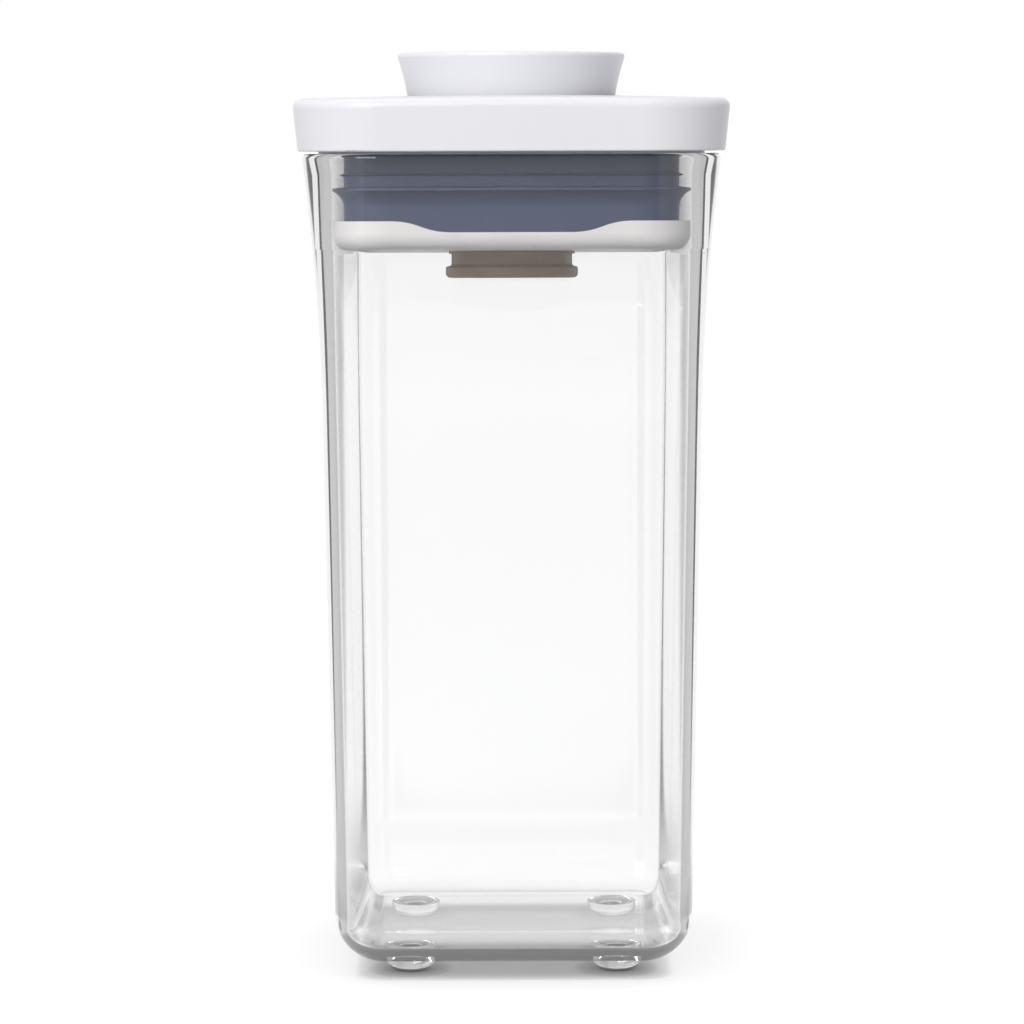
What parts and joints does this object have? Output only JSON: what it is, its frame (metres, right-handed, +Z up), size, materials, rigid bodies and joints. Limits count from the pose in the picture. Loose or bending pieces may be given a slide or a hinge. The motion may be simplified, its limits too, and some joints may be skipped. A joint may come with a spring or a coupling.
{
  "type": "storage container",
  "caption": "Clear square storage container with a flared rim and a white lid whose push button squeezes a soft ring to seal the mouth.",
  "frame": {"origin": "middle of the footprint on the surface that the feet stand on", "axes": "+Z up through the button, front towards -Y"},
  "size_m": [0.0804, 0.0804, 0.1725],
  "materials": {
    "clear_plastic": "clear moulded plastic, polished",
    "white_plastic": "white moulded plastic, soft gloss",
    "retainer_plastic": "white moulded plastic, satin",
    "silicone": "blue-grey silicone, satin",
    "taupe_plastic": "taupe moulded plastic, satin",
    "inner_plastic": "natural white moulded plastic",
    "spring_steel": "drawn steel wire"
  },
  "bodies": {
    "container": {"container_body": "clear_plastic"},
    "lid": {"lid_cover": "white_plastic", "plug_frame": "inner_plastic", "gasket": "silicone", "gasket_retainer": "retainer_plastic", "accessory_knob": "taupe_plastic", "return_spring": "spring_steel"},
    "button": {"push_button": "white_plastic", "button_stem": "inner_plastic"},
    "presser": {"seal_presser": "inner_plastic"},
    "latch": {"latch_pin": "spring_steel"}
  },
  "joints": [
    {"name": "lid_lift", "type": "slide", "parent": "container", "child": "lid", "axis": [0, 0, 1], "range_m": [0, 0.06]},
    {"name": "button_press", "type": "slide", "parent": "lid", "child": "button", "axis": [0, 0, -1], "range_m": [0, 0.0072], "stiffness_N_per_m": 300, "springref_m": -0.01, "deforming": ["gasket", "return_spring"]},
    {"name": "presser_slide", "type": "slide", "parent": "lid", "child": "presser", "axis": [0, 0, -1], "range_m": [0, 0.0018]},
    {"name": "latch_swing", "type": "hinge", "parent": "lid", "child": "latch", "pos_m": [0, 0.0093, 0.1412], "axis": [0, 1, 0], "range_deg": [0, 19.7]}
  ],
  "couplings": [
    {"joint": "presser_slide", "follows": "button_press", "ratio": 0.25},
    {"joint": "latch_swing", "follows": "button_press", "rad_per_m": 47.7}
  ]
}
